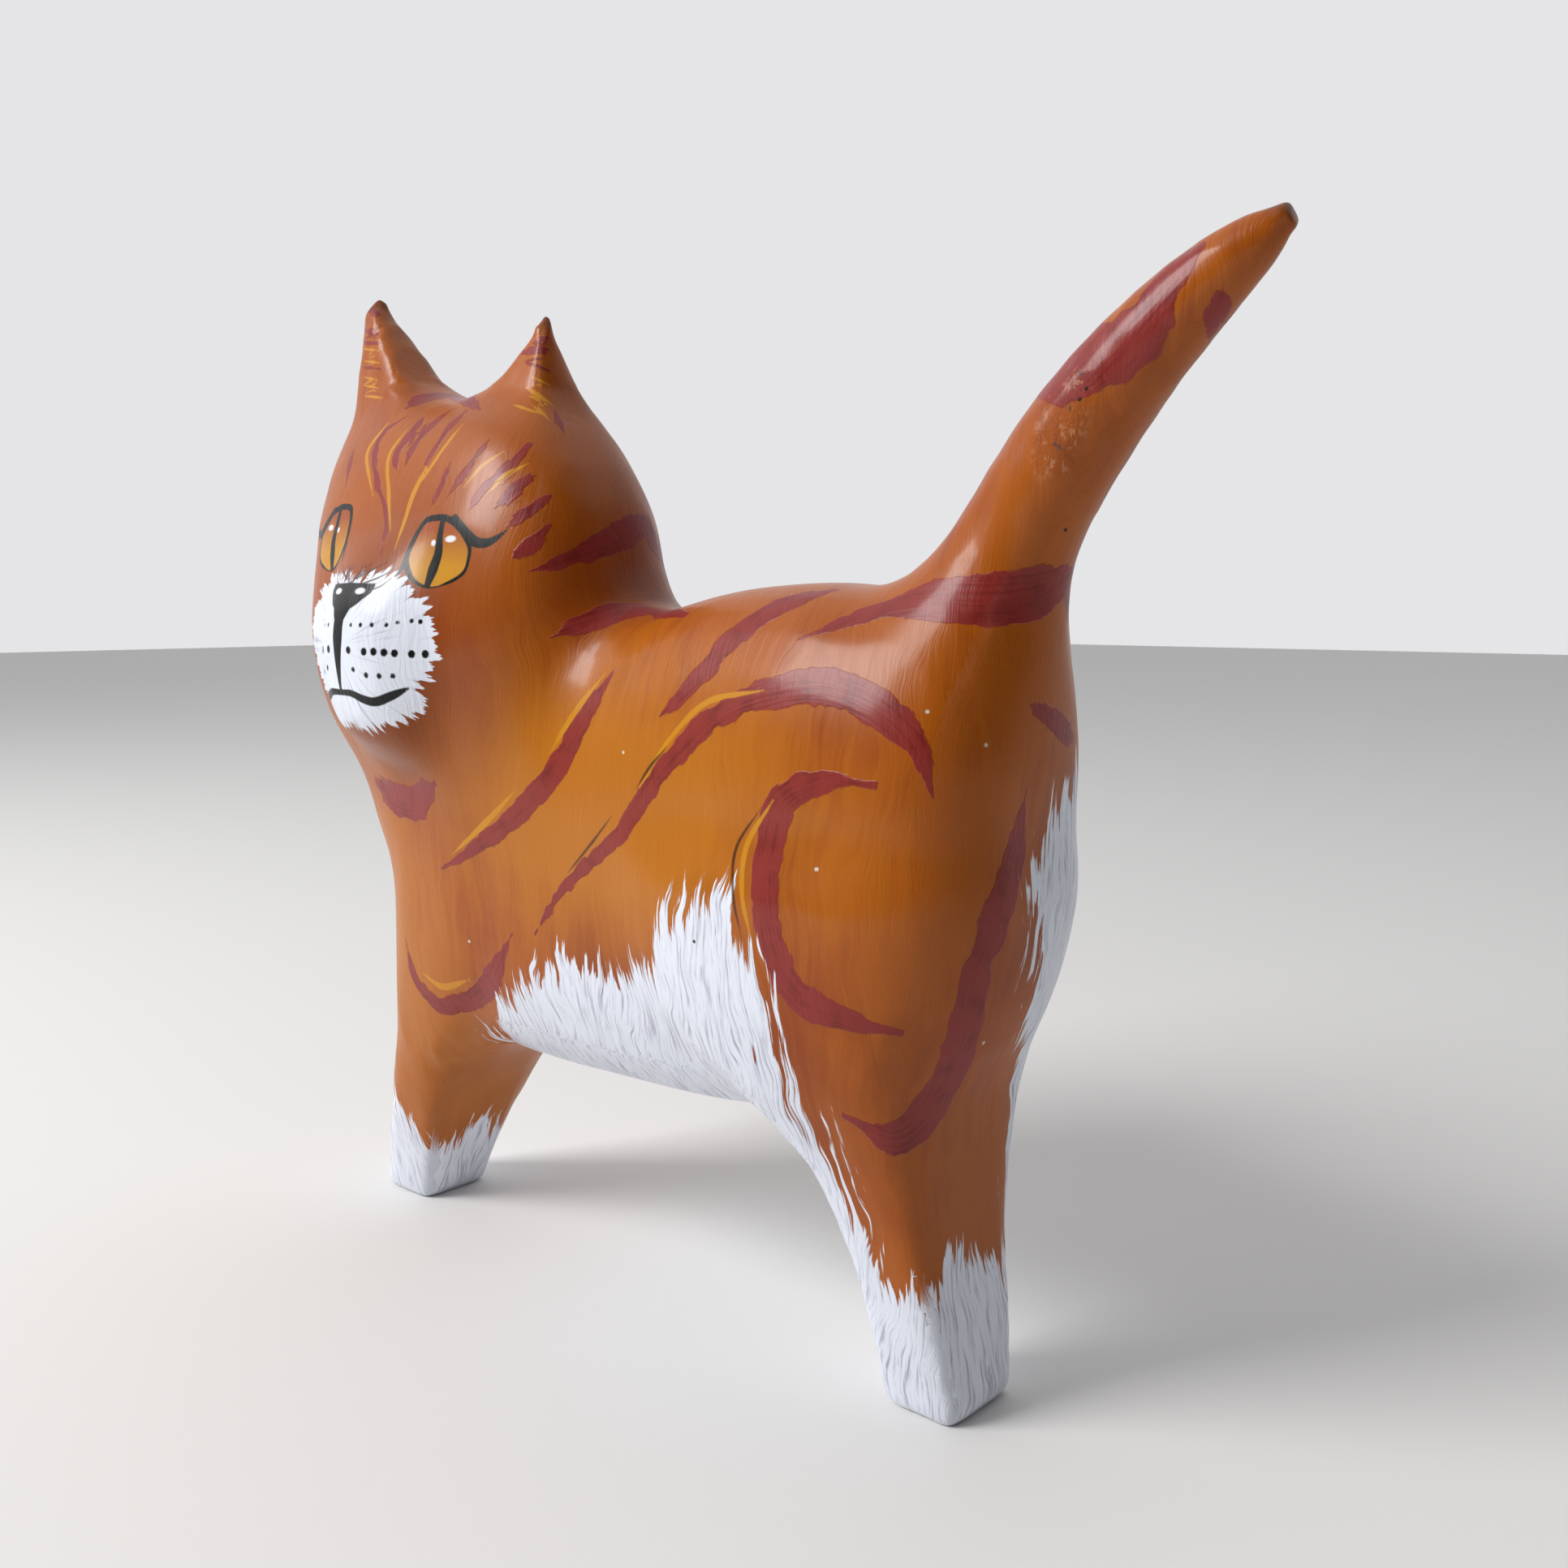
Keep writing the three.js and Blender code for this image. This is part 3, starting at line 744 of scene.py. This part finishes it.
# The paint itself.
class Signal:
    # A socket that Python's own signs work on: each expression adds its Math nodes.
    def __init__(self, paint, socket):
        self.paint = paint
        self.socket = socket

    def __add__(self, other):
        return self.paint.math("ADD", self, other)

    def __sub__(self, other):
        return self.paint.math("SUBTRACT", self, other)

    def __rsub__(self, other):
        return self.paint.math("SUBTRACT", other, self)

    def __mul__(self, other):
        return self.paint.math("MULTIPLY", self, other)

    def __truediv__(self, other):
        return self.paint.math("DIVIDE", self, other)

    __radd__ = __add__
    __rmul__ = __mul__

    def size(self):
        return self.paint.math("ABSOLUTE", self)

    def most(self, other):
        return self.paint.math("MAXIMUM", self, other)

    def least(self, other):
        return self.paint.math("MINIMUM", self, other)

    def kept(self):  # held between 0 and 1
        return self.paint.node("ShaderNodeClamp", {}, {"Value": self})


class Paint:
    # Adds nodes to a material or to the world.
    def __init__(self, owner):
        owner.use_nodes = True
        self.tree = owner.node_tree
        self.shader = self.tree.nodes.get("Principled BSDF")

    def node(self, kind, settings, values, output=0):
        made = self.tree.nodes.new(kind)
        for name, value in settings.items():
            setattr(made, name, value)
        for name, value in values.items():
            self.join(made.inputs[name], value)
        return Signal(self, made.outputs[output])

    def join(self, socket, value):
        if isinstance(value, Signal):
            self.tree.links.new(value.socket, socket)
        else:
            socket.default_value = value

    def math(self, operation, *values):
        return self.node("ShaderNodeMath", {"operation": operation}, dict(enumerate(values)))

    def vector(self, operation, *values):
        settings = {"operation": operation}
        return self.node("ShaderNodeVectorMath", settings, dict(enumerate(values)), "Value")

    def layer(self, name):
        return self.node("ShaderNodeAttribute", {"attribute_name": name}, {}, "Fac")

    def over(self, below, mask, above):
        # factor, A and B of a colour mix are its inputs 0, 6 and 7, and its result is output 2
        return self.node("ShaderNodeMix", {"data_type": "RGBA"}, {0: mask, 6: below, 7: above}, 2)

    def stretched(self, scales):
        # the object's own coordinates in mm, times a scale on each axis
        places = self.node("ShaderNodeTexCoord", {}, {}, "Object")
        values = {"Vector": places, "Scale": [s / mm for s in scales]}
        return self.node("ShaderNodeMapping", {}, values)

    def bundle(self, x, y, z):
        return self.node("ShaderNodeCombineXYZ", {}, {"X": x, "Y": y, "Z": z})

    def noise(self, vector, detail, roughness):
        values = {"Vector": vector, "Scale": 1.0, "Detail": detail, "Roughness": roughness}
        return self.node("ShaderNodeTexNoise", {}, values)

    def edge(self, depth, softness=0.25):
        # a mask that rises from 0 to 1 over the softness in mm, half way where the depth is 0
        return (depth / softness + 0.5).kept()

    def step(self, value, low, high):
        values = {"Value": value, "From Min": low, "From Max": high}
        return self.node("ShaderNodeMapRange", {}, values)


def shade(red, green, blue):
    # an sRGB shade as the linear colour that a socket takes
    parts = [c / 255 for c in (red, green, blue)]
    return [c / 12.92 if c <= 0.04045 else ((c + 0.055) / 1.055) ** 2.4 for c in parts] + [1]


paints = {
    "orange": shade(172, 88, 12),
    "orangeDeep": shade(148, 66, 8),
    "ochre": shade(190, 114, 14),
    # painted shade for the head and neck, partly a redder tone
    "shadeRusset": shade(112, 34, 5),
    "red": shade(140, 44, 42),
    "redDeep": shade(116, 28, 30),
    "yellow": shade(204, 138, 18),
    "brown": shade(60, 26, 14),
    "white": shade(236, 242, 254),
    "whiteThin": shade(172, 174, 192),
    "ink": shade(1, 2, 4),
    "amber": shade(160, 74, 10),
    "amberLow": shade(200, 140, 26),
    "tip": shade(58, 26, 16),
    "glint": shade(232, 234, 240),
    "chip": shade(214, 206, 190),
    "scuff": shade(78, 62, 60),
    "rubbed": shade(206, 150, 110),
}
brushwork = {
    "streaks": (0.5, 0.03),  # noise cells per mm, across the grain and along it
    "fine": (1.7, 0.09),
    "bend": 12.0,  # mm, how far the grain wanders sideways
    "cover": {"ochre": 0.85, "shadeRusset": 0.62, "red": 0.95, "yellow": 0.92, "brown": 0.85, "white": 0.97},
    "wander": {"red": 2.4, "yellow": 0.4, "brown": 0.2},  # mm, of a stroke's edge
    "dryness": {"red": 0.24, "yellow": 0.12, "brown": 0.2},  # how much of a stroke the bristles miss
    "tufts": (26.0, 12.0),  # mm, how far streaks and fine bristles draw out the white's ends
    "muzzleTufts": 9.0,
}
varnish = {
    "specular": 0.2,
    "coat": 0.22,
    "coatRoughness": 0.16,
    "roughness": 0.3,
    "uneven": 0.14,  # added to the roughness by the fine grain
    "relief": 0.0006,  # m, the height of the brush marks
    "strength": 0.4,
}


def grainNoise(paint):
    # noise drawn out along the brush's grain, coarse and fine
    bend = paint.noise(paint.stretched((0.07, 0.07, 0.04)), 2, 0.5)
    across = paint.layer("grain") + (bend - 0.5) * brushwork["bend"]
    along = paint.layer("grainUp")
    noises = []
    for (scaleAcross, scaleAlong), layer, roughness in (
        (brushwork["streaks"], 0, 0.6),
        (brushwork["fine"], 5, 0.65),
    ):
        cells = paint.bundle(across * scaleAcross, along * scaleAlong, layer)
        noises.append(paint.noise(cells, 3, roughness))
    return noises


def baseCoat(paint, streaks):
    # uneven orange, with ochre rubbed over the flank, and russet painted shade over the head and neck
    cover = brushwork["cover"]
    cloud = paint.noise(paint.stretched((0.03, 0.03, 0.02)), 4, 0.6)
    orangeMask = paint.step(cloud * 0.75 + streaks * 0.25, 0.36, 0.54)
    colour = paint.over(paints["orangeDeep"], orangeMask, paints["orange"])
    ochreDepth = paint.layer("ochreDepth") + (streaks - 0.5) * 12 + (cloud - 0.5) * 20
    colour = paint.over(colour, paint.step(ochreDepth, -8, 12) * cover["ochre"], paints["ochre"])
    # painted shade: the head and neck darkened towards russet
    headShadeDepth = paint.layer("headShadeDepth") + (streaks - 0.5) * 10
    return paint.over(colour, paint.step(headShadeDepth, -8, 14) * cover["shadeRusset"], paints["shadeRusset"])


def strokeMask(paint, name):
    # The edge wanders and the bristles run along the stroke. A line finer than the mesh is still
    # sharp, because its depth is its half width less the distance across it.
    across = paint.layer(name + "Across")
    along = paint.layer(name + "Along")
    depth = paint.layer(name + "Half") - across.size()
    depth = depth.least(paint.layer(name + "Depth") + 0.7)
    bristles = paint.noise(paint.bundle(across * 1.6, along * 0.08, 0), 2, 0.6)
    waves = paint.noise(paint.bundle(across * 0.16, along * 0.24, 3), 2, 0.5)
    wander = (waves - 0.5) + (bristles - 0.5) * 0.35
    mask = paint.edge(depth + wander * brushwork["wander"][name])
    dryness = brushwork["dryness"][name]
    mask = mask * paint.step(bristles * 0.7 + waves * 0.3, dryness, dryness + 0.06)
    return mask, bristles, waves


def thinStrokes(paint, colour, name):
    mask, _, _ = strokeMask(paint, name)
    return paint.over(colour, mask * brushwork["cover"][name], paints[name])


def redPaint(paint, colour):
    mask, bristles, waves = strokeMask(paint, "red")
    shades = paint.step(bristles * 0.45 + waves * 0.55, 0.36, 0.52)
    shaded = paint.over(paints["redDeep"], shades, paints["red"])
    height = mask * (bristles * 0.3 + 0.3)
    return paint.over(colour, mask * brushwork["cover"]["red"], shaded), height


def whitePaint(paint, colour, streaks, fine):
    # its edge is drawn out in tufts; round the muzzle they point away from its middle
    coarseTufts, fineTufts = brushwork["tufts"]
    drawn = (streaks - 0.5) * coarseTufts + (fine - 0.5) * fineTufts
    mask = paint.edge(paint.layer("whiteDepth") + drawn, 0.8)
    angle, radius = paint.layer("muzzleAngle"), paint.layer("muzzleRadius")
    spikes = paint.noise(paint.bundle(angle * 16, radius * 0.06, 9), 3, 0.65)
    drawn = (spikes - 0.5) * brushwork["muzzleTufts"]
    muzzleMask = paint.edge(paint.layer("muzzleDepth") + drawn, 0.3)
    mask = mask.most(muzzleMask)
    strands = paint.over(fine, muzzleMask, spikes) + muzzleMask * 0.08
    shaded = paint.over(paints["whiteThin"], paint.step(strands, 0.33, 0.5), paints["white"])
    height = mask * (fine * 0.5 + 0.2)
    return paint.over(colour, mask * brushwork["cover"]["white"], shaded), height


def facePaint(paint, colour):
    # the eyes' rims, irises and pupils, then the nose, mouth and dots, then the glints
    colour = paint.over(colour, paint.edge(paint.layer("eyeDepth")), paints["ink"])
    rise = paint.step(paint.layer("eyeRise"), 0.3, 0.8)
    iris = paint.over(paints["amberLow"], rise, paints["amber"])
    colour = paint.over(colour, paint.edge(paint.layer("irisDepth")), iris)
    inkMask = paint.edge(paint.layer("pupilDepth")).most(paint.edge(paint.layer("inkDepth")))
    colour = paint.over(colour, inkMask, paints["ink"])
    return paint.over(colour, paint.edge(paint.layer("glintDepth")), paints["glint"])


def wornPaint(paint, colour, fine):
    tipMask = paint.edge(paint.layer("tipDepth") + (fine - 0.5) * 3, 2.5)
    colour = paint.over(colour, tipMask * 0.55, paints["tip"])
    # flecks of dark and pale ground where the tail is rubbed
    scuff = paint.step(paint.layer("scuffDepth"), -1.5, 1.5)
    flecks = paint.noise(paint.stretched((0.5, 0.5, 0.35)), 6, 0.75)
    colour = paint.over(colour, paint.edge(flecks - 0.6, 0.03) * scuff * 0.8, paints["scuff"])
    colour = paint.over(colour, paint.edge(0.42 - flecks, 0.05) * scuff * 0.5, paints["rubbed"])
    # chips, each a small ball round its place
    places = paint.node("ShaderNodeTexCoord", {}, {}, "Object")
    for kind, chip in (("paleChips", "chip"), ("darkChips", "brown")):
        for place in onFigure(wear[kind])[0]:
            away = paint.vector("DISTANCE", places, list(place * mm))
            chipDepth = wear["chipRadius"] - away / mm + (fine - 0.5) * 0.5
            colour = paint.over(colour, paint.edge(chipDepth, 0.15), paints[chip])
    return colour, scuff * flecks * 2.5


def catPaint():
    material = bpy.data.materials.new("painted cat")
    paint = Paint(material)
    streaks, fine = grainNoise(paint)
    colour = baseCoat(paint, streaks)
    colour, redHeight = redPaint(paint, colour)
    colour = thinStrokes(paint, colour, "yellow")
    colour, whiteHeight = whitePaint(paint, colour, streaks, fine)
    colour = thinStrokes(paint, colour, "brown")
    colour = facePaint(paint, colour)
    colour, wornHeight = wornPaint(paint, colour, fine)
    height = streaks * 0.3 + fine * 0.4 + whiteHeight + redHeight + wornHeight
    values = {"Height": height, "Strength": varnish["strength"], "Distance": varnish["relief"]}
    gloss = paint.step(fine, 0.2, 0.8) * varnish["uneven"] + varnish["roughness"]
    for socket, value in (
        ("Base Color", colour),
        ("Roughness", gloss),
        ("Normal", paint.node("ShaderNodeBump", {}, values)),
        ("Specular IOR Level", varnish["specular"]),
        ("Coat Weight", varnish["coat"]),
        ("Coat Roughness", varnish["coatRoughness"]),
    ):
        paint.join(paint.shader.inputs[socket], value)
    return material


catMesh.materials.append(catPaint())
print("figure painted")


# The floor, the sky and the lamp, set from the camera's side.
studio = {
    "floor": shade(232, 231, 229),
    "floorHalf": 4.0,  # m
    "floorRoughness": 0.7,
    "sky": shade(240, 240, 242),
    "skyBeyond": 0.9,  # the sky's strength above and beyond the figure
    "skyBefore": 0.05,  # and on the camera's own side
    "skySlope": 0.44,  # how much the sky's bright side is tilted up
    "aim": (0.0, 0.0, 0.09),  # m, where the lamp points
    "lampLeft": 1.05,  # m from the aim: left of the camera's line, up, and towards the camera
    "lampUp": 0.85,
    "lampNear": 0.3,
    "lampSize": 0.6,  # m
    "lampPower": 17.0,  # W
}
azimuth = math.radians(photo["azimuth"])
cameraLeft = Vector((-math.cos(azimuth), -math.sin(azimuth), 0))
towardsCamera = Vector((math.sin(azimuth), -math.cos(azimuth), 0))


def buildFloor():
    mesh = bpy.data.meshes.new("floor")
    half = studio["floorHalf"]
    corners = [(-half, -half, 0), (half, -half, 0), (half, half, 0), (-half, half, 0)]
    mesh.from_pydata(corners, [], [(0, 1, 2, 3)])
    floor = bpy.data.objects.new("floor", mesh)
    scene.collection.objects.link(floor)
    mesh.materials.append(bpy.data.materials.new("floor"))
    ground = Paint(mesh.materials[0])
    ground.join(ground.shader.inputs["Base Color"], studio["floor"])
    ground.join(ground.shader.inputs["Roughness"], studio["floorRoughness"])


def buildSky():
    # bright beyond the figure and dim on the camera's side, as a lit room's walls are
    scene.world = bpy.data.worlds.new("studio")
    air = Paint(scene.world)
    backdrop = air.tree.nodes["Background"]
    direction = air.node("ShaderNodeTexCoord", {}, {}, "Generated")
    beyond = [*(-0.9 * towardsCamera).xy, studio["skySlope"]]
    share = air.step(air.vector("DOT_PRODUCT", direction, beyond), 0.0, 0.5)
    strength = share * (studio["skyBeyond"] - studio["skyBefore"]) + studio["skyBefore"]
    air.join(backdrop.inputs["Color"], studio["sky"])
    air.join(backdrop.inputs["Strength"], strength)


def buildLamp():
    data = bpy.data.lights.new("window lamp", "AREA")
    data.size = studio["lampSize"]
    data.energy = studio["lampPower"]
    lamp = bpy.data.objects.new("window lamp", data)
    aim = Vector(studio["aim"])
    lamp.location = aim + cameraLeft * studio["lampLeft"] + towardsCamera * studio["lampNear"]
    lamp.location.z += studio["lampUp"]
    lamp.rotation_euler = (aim - lamp.location).to_track_quat("-Z", "Y").to_euler()
    scene.collection.objects.link(lamp)


buildFloor()
buildSky()
buildLamp()
print("studio lit")
